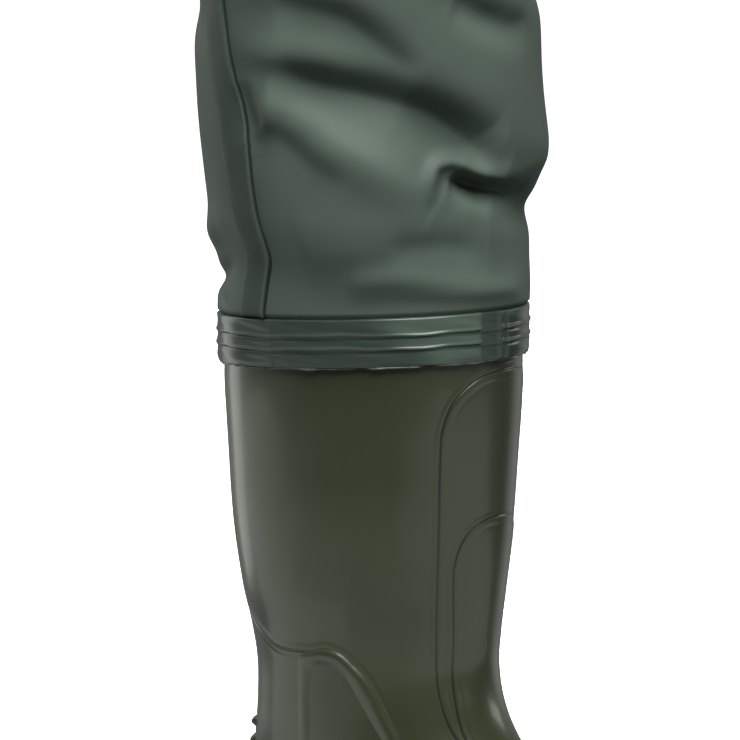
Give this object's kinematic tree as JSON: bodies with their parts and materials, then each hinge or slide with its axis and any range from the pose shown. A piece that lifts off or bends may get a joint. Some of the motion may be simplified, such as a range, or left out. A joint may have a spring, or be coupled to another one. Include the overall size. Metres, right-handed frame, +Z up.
{
  "type": "wader leg",
  "caption": "Wader for the right leg: a moulded PVC boot with lugged sole, shin and ankle guards, welded by a ribbed band to a tall leg of coated fabric.",
  "frame": {"origin": "on the floor, under the middle of the heel", "axes": "+X towards the toe, -Y towards the outer side of the foot, +Z up the leg"},
  "size_m": [0.3431, 0.1958, 0.7901],
  "materials": {
    "sole_pvc": "satin",
    "insole_felt": "matt",
    "boot_pvc": "satin",
    "leg_fabric": "smooth satin coating",
    "band_pvc": "satin"
  },
  "bodies": {
    "root": {"outsole": "sole_pvc", "insole": "insole_felt", "boot_upper": "boot_pvc", "leg": "leg_fabric", "joint_band": "band_pvc", "leg_seam": "leg_fabric", "top_hem": "leg_fabric"}
  },
  "joints": []
}
